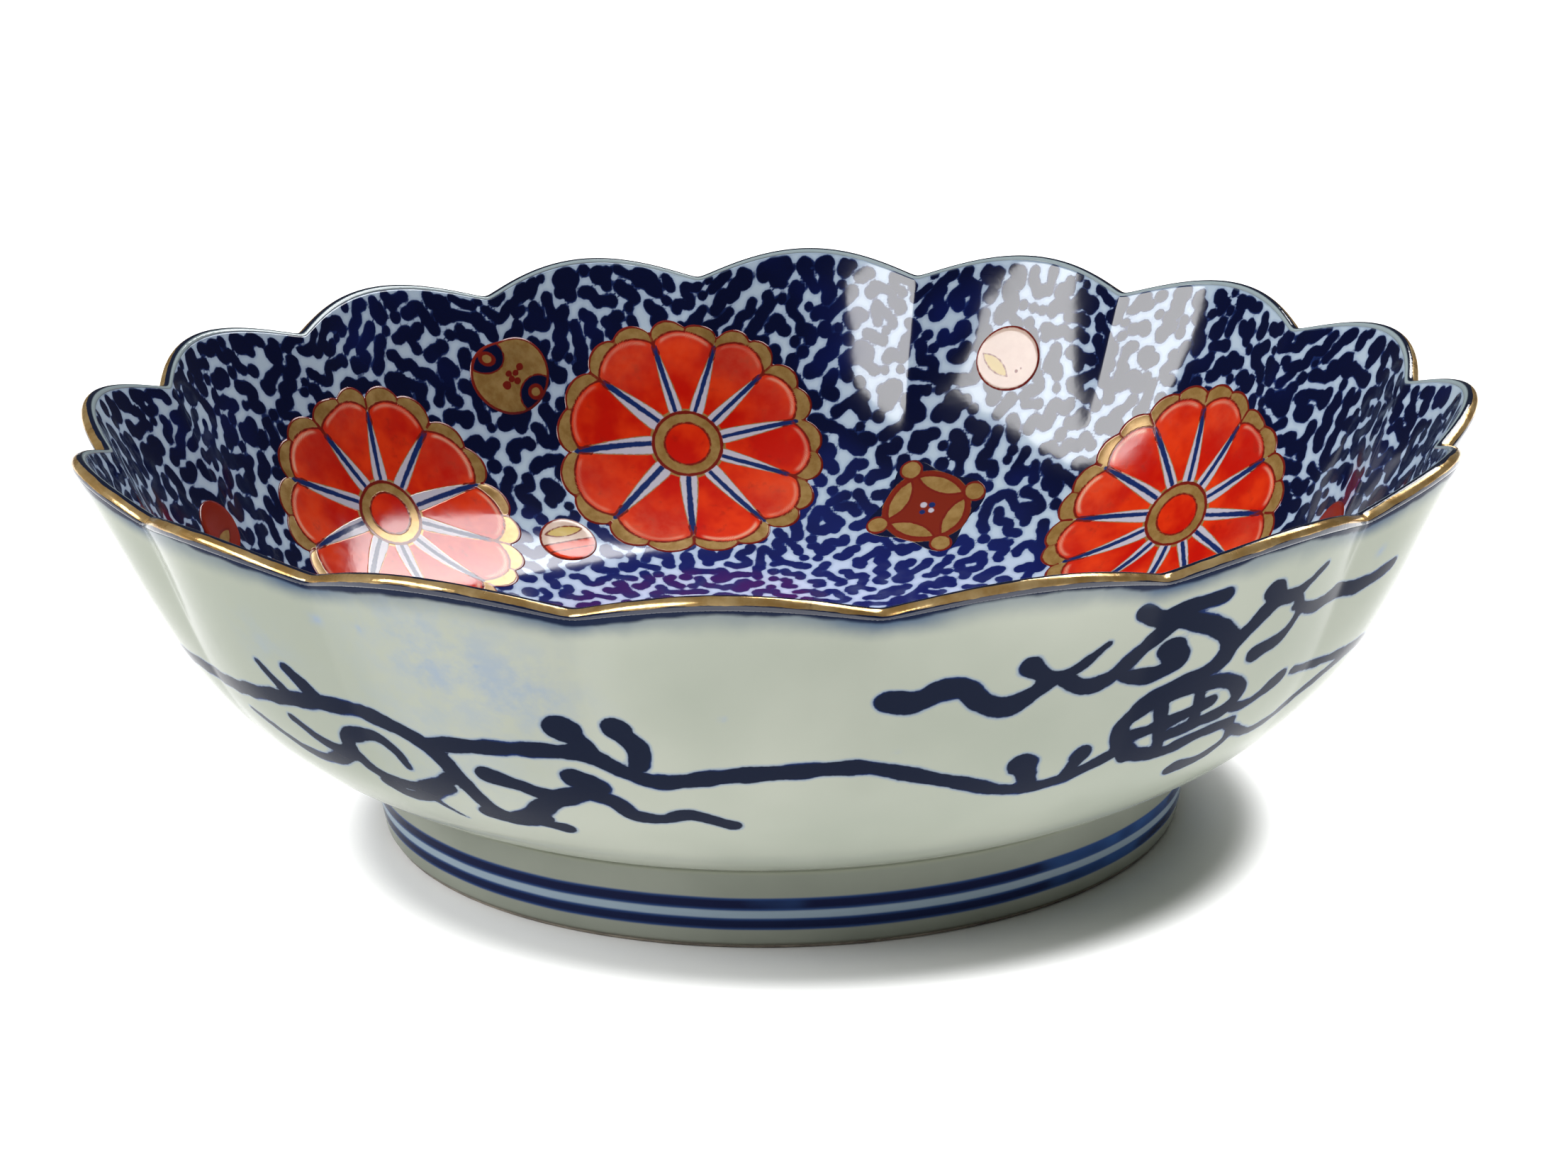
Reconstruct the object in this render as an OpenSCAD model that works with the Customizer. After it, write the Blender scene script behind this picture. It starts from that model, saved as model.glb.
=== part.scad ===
// Lobed serving bowl: a porcelain wall with a scalloped lip on a luted foot ring, with glaze coats,
// a gilded lip and raised overglaze enamels on the inside.
// The axis of the bowl is Z, the table is z = 0, and a lobe is centred on +X.

/* [Bowl] */
// Diameter across two opposite lobes at the lip
lip_d = 250; // [200:1:320]
// Height of the lobe crests above the table
height = 77.5; // [66:0.5:100]
// Number of lobes round the lip
lobes = 16; // [12:2:20]
// How far the lip pulls in where two lobes meet
notch_depth = 5.4; // [2:0.1:7]
// How far the lip dips where two lobes meet
notch_drop = 4.4; // [1:0.1:6]
// Wall thickness at the lip
lip_t = 2.8; // [2.2:0.1:4]
// Thickness of the floor of the well
floor_t = 4; // [3:0.1:6]
// Radius of the flat middle of the well
well_r = 50; // [40:1:54]

/* [Foot ring] */
// Outer diameter of the foot ring where it meets the wall
foot_d = 151; // [140:1:154]
// Height of the foot ring
foot_h = 15; // [10:0.5:18]
// How far the outside of the foot ring leans in from top to bottom
foot_lean = 2.6; // [0:0.1:4]
// Width of the flat edge that the bowl rests on
rest_w = 2.6; // [1.5:0.1:4]
// Width of the foot ring at the top
foot_top_w = 8; // [6:0.5:10]
// Height of the bare porcelain left under the glaze of the foot
bare_h = 0.7;              // height of the bare edge under the foot glaze

/* [Coats] */
// Thickness of the glaze and of the gilding
skin = 0.35; // [0.3:0.05:0.5]
// Height of the enamels above the glaze
enamel_t = 0.3; // [0.2:0.05:0.5]
// How far the enamels melt into the glaze
enamel_sink = 0.1; // [0.05:0.05:0.15]

/* [Enamels] */
// Radius of a flower
flower_r = 29; // [24:0.5:30]

/* [Hidden] */

porcelain_white = [0.86, 0.87, 0.84];
bare_brown = [0.55, 0.42, 0.30];
glaze_outside = [0.72, 0.74, 0.70];
glaze_inside = [0.13, 0.17, 0.42];
gilt = [0.72, 0.55, 0.25];
enamel_red = [0.80, 0.18, 0.08];
enamel_pale = [0.88, 0.72, 0.64];

lip_r = lip_d / 2;
foot_r = foot_d / 2;
floor_z = foot_h + floor_t;
turn_steps = lobes * 6;
outside_steps = 7;
inside_steps = 10;
lip_steps = 4;
round_fn = 96;

// ---- Meridian of the wall ----

// The lip is a half round on the end of the wall, which leans out by lip_lean from upright.
lip_lean = 27;
lip_centre = [lip_r - lip_t / 2, height - lip_t / 2];
function lip_point(a) = lip_centre + lip_t / 2 * [cos(a), sin(a)];

function bezier(p, t) =
    pow(1 - t, 3) * p[0] + 3 * pow(1 - t, 2) * t * p[1] + 3 * (1 - t) * t * t * p[2] + pow(t, 3) * p[3];

// A point a given share of the way across and up from one corner to the opposite one.
function between(from, to, share) = [for (k = [0, 1]) from[k] + share[k] * (to[k] - from[k])];

outside_start = [foot_r, foot_h];
outside_end = lip_point(-lip_lean);
outside_curve = [
    outside_start,
    between(outside_start, outside_end, [0.68, 0.24]),
    between(outside_start, outside_end, [0.71, 0.54]),
    outside_end
];

inside_start = [well_r, floor_z];
inside_end = lip_point(180 - lip_lean);
inside_curve = [
    inside_start,
    between(inside_start, inside_end, [0.70, 0]),
    between(inside_start, inside_end, [0.75, 0.42]),
    inside_end
];

// The glazed surface from the foot, up the outside, over the lip and down the inside to the well.
outside_stations = [for (i = [0 : outside_steps]) bezier(outside_curve, i / outside_steps)];
lip_stations = [for (i = [1 : lip_steps - 1]) lip_point(-lip_lean + 180 * i / lip_steps)];
inside_stations = [for (i = [inside_steps : -1 : 0]) bezier(inside_curve, i / inside_steps)];
stations = concat(outside_stations, lip_stations, inside_stations);
lip_first = outside_steps;
lip_last = outside_steps + lip_steps;
last = len(stations) - 1;

// The way out of the porcelain at a station: level at the foot, upright in the well.
function facing(i) =
    i == 0 ? [1, 0] :
    i == last ? [0, 1] :
    let (d = stations[i + 1] - stations[i - 1]) [d[1], -d[0]] / norm(d);

// The surface of the porcelain under the skin.
core = [for (i = [0 : last]) stations[i] - skin * facing(i)];

// ---- Lobes ----

// 1 in the middle of a lobe and 0 where two lobes meet.
function lobe(a) = abs(cos(lobes * a / 2));

// The flutes fade out down the wall and end above the well.
function flute(z) = pow(max(0, (z - floor_z) / (height - floor_z)), 2);

function swept(p, a) =
    let (
        dip = 1 - lobe(a),
        strength = flute(p[1]),
        r = p[0] - notch_depth * strength * dip,
        z = p[1] - notch_drop * strength * strength * dip
    )
    [r * cos(a), r * sin(a), z];

function ring(p) = [for (k = [0 : turn_steps - 1]) swept(p, 360 * k / turn_steps)];
function flat_list(rows) = [for (row = rows, item = row) item];

// Quads between ring i and ring j of a stack whose rings have n points, from a first index.
function band(i, j, n, first = 0) = [
    for (k = [0 : n - 1])
        let (m = (k + 1) % n)
        each [
            [first + i * n + k, first + j * n + k, first + j * n + m],
            [first + i * n + k, first + j * n + m, first + i * n + m]
        ]
];

// A solid swept round the axis from a closed outline that stays clear of the axis.
module hoop(outline) {
    count = len(outline);
    polyhedron(
        flat_list([for (p = outline) ring(p)]),
        flat_list([for (i = [0 : count - 1]) band(i, (i + 1) % count, turn_steps)])
    );
}

// A solid swept round the axis from an outline that starts and ends on the axis.
module dish(start_z, outline, end_z) {
    count = len(outline);
    start = count * turn_steps;
    polyhedron(
        concat(flat_list([for (p = outline) ring(p)]), [[0, 0, start_z], [0, 0, end_z]]),
        concat(
            flat_list([for (i = [0 : count - 2]) band(i, i + 1, turn_steps)]),
            [for (k = [0 : turn_steps - 1]) [start, k, (k + 1) % turn_steps]],
            [
                for (k = [0 : turn_steps - 1])
                    [start + 1, start - turn_steps + (k + 1) % turn_steps, start - turn_steps + k]
            ]
        )
    );
}

function reversed(items) = [for (i = [len(items) - 1 : -1 : 0]) items[i]];
function part_of(items, from, to) = [for (i = [from : to]) items[i]];
function coat(from, to) = concat(part_of(stations, from, to), reversed(part_of(core, from, to)));

// ---- Body and coats ----

module porcelain_body() {
    color(porcelain_white) dish(foot_h, core, floor_z - skin);
}

module outside_glaze() {
    color(glaze_outside) hoop(coat(0, lip_first));
}

module lip_gilding() {
    color(gilt) hoop(coat(lip_first, lip_last));
}

module inside_glaze() {
    outline = concat(reversed(part_of(core, lip_last, last)), part_of(stations, lip_last, last));
    color(glaze_inside) dish(floor_z - skin, outline, floor_z);
}

foot_outer = foot_r - skin;
foot_inner = foot_outer - foot_top_w;
rest_outer = foot_outer - foot_lean;

module foot_ring() {
    color(bare_brown)
        rotate_extrude($fn = round_fn)
            polygon([
                [rest_outer, 0],
                [foot_outer, foot_h],
                [foot_inner, foot_h],
                [rest_outer - rest_w, 0]
            ]);
}

// The outside face of the foot ring at height z.
function foot_face(z) = rest_outer + foot_lean * z / foot_h;

module foot_glaze() {
    color(glaze_outside)
        rotate_extrude($fn = round_fn)
            polygon([
                [foot_face(bare_h), bare_h],
                [foot_face(bare_h) + skin, bare_h],
                [foot_r, foot_h],
                [foot_outer, foot_h]
            ]);
}

// The inside face of the foot ring at height z.
function recess_face(z) = rest_outer - rest_w + (foot_inner - rest_outer + rest_w) * z / foot_h;

module base_glaze() {
    color(glaze_outside)
        rotate_extrude($fn = round_fn)
            polygon([
                [0, foot_h],
                [0, foot_h - skin],
                [recess_face(foot_h - skin) - skin, foot_h - skin],
                [recess_face(bare_h) - skin, bare_h],
                [recess_face(bare_h), bare_h],
                [foot_inner, foot_h]
            ]);
}

// ---- Enamels on the inside ----

// Distances along the inside surface from the axis, with the radius and height reached there.
way_steps = 60;
way = [for (i = [0 : way_steps]) bezier(inside_curve, i / way_steps)];
reach = [
    for (i = 0, s = well_r; i <= way_steps; s = s + norm(way[min(i + 1, way_steps)] - way[i]), i = i + 1) s
];
radius_table = concat([[0, 0]], [for (i = [0 : way_steps]) [reach[i], way[i][0]]]);
height_table = concat([[0, floor_z]], [for (i = [0 : way_steps]) [reach[i], way[i][1]]]);
function inside_at(s) = [lookup(s, radius_table), lookup(s, height_table)];

// A point of the inside surface near a place, x across and y up the wall, raised by lift.
function on_wall(place, x, y, lift) =
    let (
        s = place[0] + y,
        here = inside_at(s),
        slope = inside_at(s + 1) - inside_at(s - 1),
        raised = here + lift * [-slope[1], slope[0]] / norm(slope)
    )
    swept(raised, place[1] - x / here[0] * 180 / PI);

// A thin raised pad whose edge is outline(angle), with rings to follow the curve of the wall.
module pad(place, edges, rings) {
    n = len(edges);
    function sheet(lift) = [
        for (j = [rings : -1 : 1], k = [0 : n - 1])
            let (a = 360 * k / n, rho = edges[k] * j / rings)
            on_wall(place, rho * cos(a), rho * sin(a), lift)
    ];
    centre = 2 * n * rings;
    polyhedron(
        concat(
            sheet(enamel_t),
            sheet(-enamel_sink),
            [on_wall(place, 0, 0, enamel_t), on_wall(place, 0, 0, -enamel_sink)]
        ),
        concat(
            [for (i = [0 : 1 : rings - 2]) each band(i + 1, i, n)],
            [for (i = [0 : 1 : rings - 2]) each band(i, i + 1, n, n * rings)],
            band(0, rings, n),
            [for (k = [0 : n - 1]) [centre, n * (rings - 1) + k, n * (rings - 1) + (k + 1) % n]],
            [for (k = [0 : n - 1]) [centre + 1, n * (2 * rings - 1) + (k + 1) % n, n * (2 * rings - 1) + k]]
        )
    );
}

// Each petal ends in two small scallops. The flower is turned, and its petals crowd to one side
// by up to bend degrees, as they do when painted by hand.
petal_steps = 6;
crowd_angle = 300;
function flower_edges(petals, turn, bend) = [
    for (k = [0 : petals * petal_steps - 1])
        let (
            b = 360 * k / (petals * petal_steps) - turn,
            a = b - bend * cos(b - crowd_angle)
        )
        flower_r * (0.9 + 0.06 * abs(sin(petals * a / 2)) + 0.04 * abs(sin(petals * a)))
];

disc_n = 24;
function round_edges(r) = [for (k = [0 : disc_n - 1]) r];

// A curved diamond with a knob at each corner, turned a little from upright.
knob_angle = 30;
function diamond_edges(r) = [
    for (k = [0 : disc_n - 1])
        let (a = 360 * k / disc_n)
        r * (0.72 + 0.28 * pow(abs(cos(2 * (a - knob_angle))), 3))
];

module flower(place, petals, turn, bend) {
    color(enamel_red) pad(place, flower_edges(petals, turn, bend), 3);
}

module small_enamel(place, edges, shade) {
    color(shade) pad(place, edges, 2);
}

// Where each enamel sits: the distance along the inside surface, then the angle round the axis.
flowers = [[105.8, 144.2], [110, 104], [103.2, 39.9], [108, 346], [111, 300], [109, 236], [111, 198]];
// The number of petals of each flower, how far it is turned and how far its petals crowd together.
flower_petals = [10, 10, 12, 10, 12, 10, 10];
flower_turns = [3, 5, -14, -6, 20, 11, -14];
flower_bends = [0, 11, 2, 5, -6, 4, 7];
leaf_discs = [[130, 123], [130, 323], [130, 217]];
leaf_disc_r = 9;
pale_discs = [[129.5, 68], [130, 268]];
pale_disc_r = 7;
diamonds = [[94.5, 74], [94.5, 266]];
diamond_r = 13;
two_tones = [[90, 122.5], [90, 322], [90, 217]];
two_tone_r = 6;
side_discs = [[118, 172], [114, 13.5]];
side_disc_r = 6;

porcelain_body();
foot_ring();
outside_glaze();
inside_glaze();
foot_glaze();
base_glaze();
lip_gilding();
for (i = [0 : len(flowers) - 1])
    flower(flowers[i], flower_petals[i], flower_turns[i], flower_bends[i]);
for (i = [0 : len(leaf_discs) - 1])
    small_enamel(leaf_discs[i], round_edges(leaf_disc_r), gilt);
for (i = [0 : len(pale_discs) - 1])
    small_enamel(pale_discs[i], round_edges(pale_disc_r), enamel_pale);
for (i = [0 : len(diamonds) - 1])
    small_enamel(diamonds[i], diamond_edges(diamond_r), gilt);
for (i = [0 : len(two_tones) - 1])
    small_enamel(two_tones[i], round_edges(two_tone_r), enamel_red);
for (i = [0 : len(side_discs) - 1])
    small_enamel(side_discs[i], round_edges(side_disc_r), enamel_red);
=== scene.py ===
from math import cos, pi, radians, sin

import bpy
import numpy as np
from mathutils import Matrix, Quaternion, Vector

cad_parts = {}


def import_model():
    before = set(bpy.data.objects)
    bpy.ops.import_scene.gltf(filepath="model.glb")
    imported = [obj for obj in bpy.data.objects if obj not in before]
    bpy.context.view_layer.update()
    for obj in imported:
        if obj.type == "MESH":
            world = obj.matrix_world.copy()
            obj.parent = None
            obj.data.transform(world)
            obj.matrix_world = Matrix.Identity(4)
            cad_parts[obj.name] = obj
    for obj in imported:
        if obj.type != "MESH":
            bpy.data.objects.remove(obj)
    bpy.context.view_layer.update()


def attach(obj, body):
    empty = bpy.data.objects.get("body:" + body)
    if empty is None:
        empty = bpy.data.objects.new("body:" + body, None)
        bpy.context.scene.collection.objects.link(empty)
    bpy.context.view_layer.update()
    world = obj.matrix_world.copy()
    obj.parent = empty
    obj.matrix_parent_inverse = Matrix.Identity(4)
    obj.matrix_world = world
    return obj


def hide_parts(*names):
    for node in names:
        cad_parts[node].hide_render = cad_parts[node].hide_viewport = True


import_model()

MM = 0.001

# ---- Sizes, in millimetres and degrees: the same driving sizes as the frame ----

LIP_R = 125.0
HEIGHT = 77.5
LOBES = 16
NOTCH_DEPTH = 5.4
NOTCH_DROP = 4.4
CREASE = 0.06              # roundness of the crease between two lobes, as a share of a lobe
LIP_T = 2.8
LIP_LEAN = 27.0
FOOT_R = 75.5
FOOT_H = 15.0
FOOT_LEAN = 2.6
FOOT_TOP_W = 8.0
REST_W = 2.6
BARE_H = 0.7
FOOT_BANDS = ((3.7, 5.9), (7.4, 9.8))
FLOOR_Z = 19.0
WELL_R = 50.0
SKIN = 0.35
ENAMEL_T = 0.28
ENAMEL_SINK = 0.12

# Where each enamel sits: the distance along the inside surface from the axis, then the angle round
# the axis. Each kind's radius follows. The turns and bends are in degrees; a bend says how far the
# petals crowd to one side.
FLOWERS = [(105.8, 144.2), (110, 104), (103.2, 39.9), (108, 346), (111, 300), (109, 236), (111, 198)]
FLOWER_TURNS = [3, 5, -14, -6, 20, 11, -14]
FLOWER_BENDS = [0, 11, 2, 5, -6, 4, 7]
FLOWER_PETALS = [10, 10, 12, 10, 12, 10, 10]
FLOWER_R = 28.5
LEAF_DISCS = [(130, 123), (130, 323), (130, 217)]
LEAF_DISC_R = 9.0
PALE_DISCS = [(129.5, 68), (130, 268)]
PALE_DISC_R = 7.0
DIAMONDS = [(94.5, 74), (94.5, 266)]
DIAMOND_R = 13.0
DIAMOND_TURN = 30.0
TWO_TONES = [(90, 122.5), (90, 322), (90, 217)]
TWO_TONE_R = 6.0
SIDE_DISCS = [(118, 172), (114, 13.5)]
SIDE_DISC_R = 6.0


# ---- Shape of the wall ----

LIP_CENTRE = np.array([LIP_R - LIP_T / 2, HEIGHT - LIP_T / 2])


def lip_point(angle, depth=0.0):
    """A point of the half round that ends the wall, or that far in mm under its surface."""
    a = np.radians(angle)
    return LIP_CENTRE + (LIP_T / 2 - depth) * np.stack([np.cos(a), np.sin(a)], -1)


def between(start, end, shares):
    """A handle of the curve: a share of the way across and a share of the way up."""
    return start + np.array(shares) * (end - start)


def bezier(p, t):
    t = np.asarray(t, float)[..., None]
    return (1 - t) ** 3 * p[0] + 3 * (1 - t) ** 2 * t * p[1] + 3 * (1 - t) * t ** 2 * p[2] + t ** 3 * p[3]


def wall_curve(start, end, low, high):
    return [start, between(start, end, low), between(start, end, high), end]


def smoothstep(value, low, high):
    t = np.clip((value - low) / (high - low), 0, 1)
    return t * t * (3 - 2 * t)


class Meridian:
    """A curve of the wall, read by the distance along it."""

    def __init__(self, curve, lead=()):
        points = np.vstack([np.reshape(lead, (-1, 2)), bezier(curve, np.linspace(0, 1, 600))])
        steps = np.linalg.norm(np.diff(points, axis=0), axis=1)
        self.way = np.concatenate([[0], np.cumsum(steps)])
        self.points = points
        self.length = self.way[-1]

    def at(self, s):
        r = np.interp(s, self.way, self.points[:, 0])
        return np.stack([r, np.interp(s, self.way, self.points[:, 1])], -1)

    def normal(self, s):
        slope = self.at(np.asarray(s) + 0.5) - self.at(np.asarray(s) - 0.5)
        slope /= np.linalg.norm(slope, axis=-1, keepdims=True)
        return np.stack([-slope[..., 1], slope[..., 0]], -1)


foot_top = np.array([FOOT_R, FOOT_H])
well_edge = np.array([WELL_R, FLOOR_Z])
OUTSIDE = Meridian(wall_curve(foot_top, lip_point(-LIP_LEAN), (0.68, 0.24), (0.71, 0.54)))
INSIDE = Meridian(wall_curve(well_edge, lip_point(180 - LIP_LEAN), (0.70, 0), (0.75, 0.42)), (0, FLOOR_Z))


def lobe(angle):
    """1 in the middle of a lobe and 0 in the crease between two."""
    wave = np.abs(np.cos(LOBES * angle / 2))
    return (np.hypot(wave, CREASE) - CREASE) / (np.hypot(1, CREASE) - CREASE)


def swept(rz, angle):
    """The place of a point of the section at an angle round the axis, with the lobes worked in."""
    r, z = rz[..., 0], rz[..., 1]
    dip = 1 - lobe(angle)
    flute = np.clip((z - FLOOR_Z) / (HEIGHT - FLOOR_Z), 0, None) ** 2
    r = r - NOTCH_DEPTH * flute * dip
    z = z - NOTCH_DROP * flute ** 2 * dip
    return np.stack([r * np.cos(angle), r * np.sin(angle), z], -1)


# ---- Meshes ----

def new_object(name, verts, faces, nodes, fields, material):
    """A piece from points in mm and arrays of faces. It rides on the bowl and stands for its CAD node."""
    mesh = bpy.data.meshes.new(name)
    loops = np.concatenate([f.ravel() for f in faces]).astype(np.int32)
    sizes = np.concatenate([np.full(len(f), f.shape[1]) for f in faces]).astype(np.int32)
    starts = np.concatenate([[0], np.cumsum(sizes)[:-1]]).astype(np.int32)
    mesh.vertices.add(len(verts))
    mesh.vertices.foreach_set("co", (np.asarray(verts) * MM).astype(np.float32).ravel())
    mesh.loops.add(len(loops))
    mesh.loops.foreach_set("vertex_index", loops)
    mesh.polygons.add(len(sizes))
    mesh.polygons.foreach_set("loop_start", starts)
    mesh.polygons.foreach_set("loop_total", sizes)
    mesh.update(calc_edges=True)
    mesh.validate()
    mesh.polygons.foreach_set("use_smooth", np.ones(len(sizes), bool))
    for key, values in fields.items():
        layer = mesh.attributes.new(key, "FLOAT", "POINT")
        layer.data.foreach_set("value", np.asarray(values, np.float32).ravel())
    mesh.materials.append(material)
    piece = bpy.data.objects.new(name, mesh)
    bpy.context.scene.collection.objects.link(piece)
    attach(piece, "root")
    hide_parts(*nodes)


def join_rings(start_a, turns_a, start_b, turns_b):
    """Faces between two rings of points. One ring may have twice as many points as the other."""
    k = np.arange(min(turns_a, turns_b))
    if turns_a == turns_b:
        after = (k + 1) % turns_a
        return [np.stack([start_a + k, start_a + after, start_b + after, start_b + k], -1)]
    coarse, fine = (start_a, start_b) if turns_a < turns_b else (start_b, start_a)
    here, after = coarse + k, coarse + (k + 1) % len(k)
    first, middle, last = fine + 2 * k, fine + 2 * k + 1, fine + (2 * k + 2) % (2 * len(k))
    corners = [(first, middle, here), (middle, after, here), (middle, last, after)]
    if turns_a < turns_b:
        corners = [c[::-1] for c in corners]
    return [np.stack(c, -1) for c in corners]


def revolve(section, turns, apexes=None):
    """A solid round the axis: a hoop, or with two heights on the axis a dish closed there.

    turns is the number of points in every ring, or in each. The ring and the angle of each point
    come back too.
    """
    section = np.asarray(section)
    counts = np.broadcast_to(turns, len(section))
    starts = np.cumsum(counts) - counts
    ring = np.repeat(np.arange(len(section)), counts)
    angle = np.concatenate([np.arange(n) * 2 * pi / n for n in counts])
    verts = swept(section[ring], angle)
    faces = []
    for a in range(len(section) - bool(apexes)):
        b = (a + 1) % len(section)
        faces += join_rings(starts[a], counts[a], starts[b], counts[b])
    if apexes:
        first, last = len(verts), len(verts) + 1
        k, j = np.arange(counts[0]), np.arange(counts[-1])
        faces.append(np.stack([np.full(len(k), first), (k + 1) % len(k), k], -1))
        faces.append(np.stack([np.full(len(j), last), starts[-1] + j, starts[-1] + (j + 1) % len(j)], -1))
        verts = np.vstack([verts, [[0, 0, apexes[0]], [0, 0, apexes[1]]]])
        ring, angle = np.append(ring, [0, len(section) - 1]), np.append(angle, [0, 0])
    return verts, faces, ring, angle


def offset(meridian, s, depth):
    """Points of a section set off from a meridian, towards the inside of the bowl if depth is positive."""
    return meridian.at(s) + depth * meridian.normal(s)


# ---- Painted fields, worked out at the points of a mesh ----

class BrushGround:
    """Short curling brush strokes packed close together on a flat disc.

    away holds the distance to the edge of the nearest stroke, in mm, on a square grid.
    """

    STEP = 0.4                 # spacing of the grid
    PATCH = 13                 # steps of the grid worked out on each side of a stroke's point
    FAR = 9.0                  # the distance held where no stroke is near
    TRIES = 30000
    HALF = 1.1                 # half the width of a stroke at the border
    GAP = 1.6                  # the space that a stroke keeps from the others
    WIDEST_ROOM = 3.2          # room beyond this doesn't draw a stroke aside
    STRIDE = 0.85              # from one point of a stroke to the next
    TURNS = (0, 0.35, -0.35, 0.7, -0.7, 1.15, -1.15)
    DOT_ROOM, DOT_GAP = 1.5, 0.75

    def __init__(self, seed, radius, border):
        self.rng = np.random.default_rng(seed)
        self.radius, self.border = radius, border
        self.size = 2 * int((radius + 8) / self.STEP)
        self.away = np.full((self.size, self.size), self.FAR)
        self.axis = (np.arange(self.size) - self.size / 2) * self.STEP
        for _ in range(self.TRIES):
            self.add_stroke(*self.random_place())
        for _ in range(self.TRIES):
            x, y = self.random_place()
            if self.room(x, y) > self.DOT_ROOM:
                self.stamp(x, y, self.room(x, y) - self.DOT_GAP)

    def random_place(self):
        reach, turn = self.radius * np.sqrt(self.rng.random()), self.rng.random() * 2 * pi
        return reach * cos(turn), reach * sin(turn)

    def cell(self, x, y):
        return int(round(x / self.STEP + self.size / 2)), int(round(y / self.STEP + self.size / 2))

    def room(self, x, y):
        """How far a point is from other strokes and from the border of the ground."""
        edge = self.border(np.arctan2(y, x)) - np.hypot(x, y)
        return min(self.away[self.cell(x, y)], edge + self.GAP * 0.9)

    def stamp(self, x, y, r):
        """Lays one round touch of the brush."""
        i, j = self.cell(x, y)
        a, b = slice(i - self.PATCH, i + self.PATCH + 1), slice(j - self.PATCH, j + self.PATCH + 1)
        spot = np.hypot(self.axis[a, None] - x, self.axis[None, b] - y) - r
        np.minimum(self.away[a, b], spot, out=self.away[a, b])

    def add_stroke(self, x, y):
        """Lays a stroke that winds from a point, if there is room for it. It is finer near the well."""
        half = self.HALF * self.rng.uniform(0.8, 1.15) * (0.62 + 0.38 * smoothstep(np.hypot(x, y), 50, 120))
        head, bend = self.rng.random() * 2 * pi, self.rng.choice([-1, 1]) * self.rng.uniform(0.5, 0.9)
        flip, steps = self.rng.integers(3, 6), self.rng.integers(5, 22)
        room = self.room(x, y)
        if room < half * 0.8 + self.GAP * 0.75:
            return
        path = [(x, y, min(half * 1.1, room - self.GAP * 0.6))]
        for k in range(steps):
            if k % flip == flip - 1:
                bend = -bend
            ahead = self.best_step(x, y, head + bend, half)
            if ahead is None:
                path += self.run_into_neighbour(x, y, head, half * 0.8)
                break
            x, y, head = ahead
            path.append((x, y, half * (1 + 0.15 * sin(1.9 * k))))
        for place in path:
            self.stamp(*place)

    def best_step(self, x, y, head, half):
        """The next place along a stroke that keeps the most even gap to its neighbours."""
        options = []
        for turn in self.TURNS:
            dx, dy = self.STRIDE * cos(head + turn), self.STRIDE * sin(head + turn)
            here = self.room(x + dx, y + dy)
            if min(here, self.room(x + 2 * dx, y + 2 * dy)) > half + self.GAP * 0.6:
                uneven = abs(min(here, self.WIDEST_ROOM) - half - self.GAP) + 0.8 * abs(turn)
                options.append((uneven, x + dx, y + dy, head + turn))
        return min(options)[1:] if options else None

    def run_into_neighbour(self, x, y, head, half):
        """The points that carry a stroke on until it touches the next one."""
        path = []
        for _ in range(5):
            x, y = x + 0.7 * cos(head), y + 0.7 * sin(head)
            if self.room(x, y) < 0.1 or np.hypot(x, y) + half > self.border(np.arctan2(y, x)):
                break
            path.append((x, y, half))
        return path

    def at(self, x, y):
        """The distance to the nearest stroke's edge, read between the points of the grid."""
        row, column = (np.clip(v / self.STEP + self.size / 2, 0, self.size - 1.001) for v in (x, y))
        i, j = row.astype(int), column.astype(int)
        a, b = row - i, column - j
        low = self.away[i, j] * (1 - b) + self.away[i, j + 1] * b
        high = self.away[i + 1, j] * (1 - b) + self.away[i + 1, j + 1] * b
        return low * (1 - a) + high * a


def smooth_path(points, spacing=0.4):
    """Points close together on a smooth curve through the given ones, with the share of the way to each."""
    p = np.asarray(points, float)
    ends = np.vstack([2 * p[0] - p[1], p, 2 * p[-1] - p[-2]])
    out = []
    for a, b, c, d in zip(ends, ends[1:], ends[2:], ends[3:]):
        count = max(2, int(np.linalg.norm(c - b) / spacing))
        t = np.linspace(0, 1, count, endpoint=False)[:, None]
        out.append(0.5 * (2 * b + (c - a) * t + (2 * a - 5 * b + 4 * c - d) * t ** 2
                          + (3 * b - a - 3 * c + d) * t ** 3))
    path = np.vstack(out + [p[-1:]])
    return path, np.linspace(0, 1, len(path))


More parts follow.
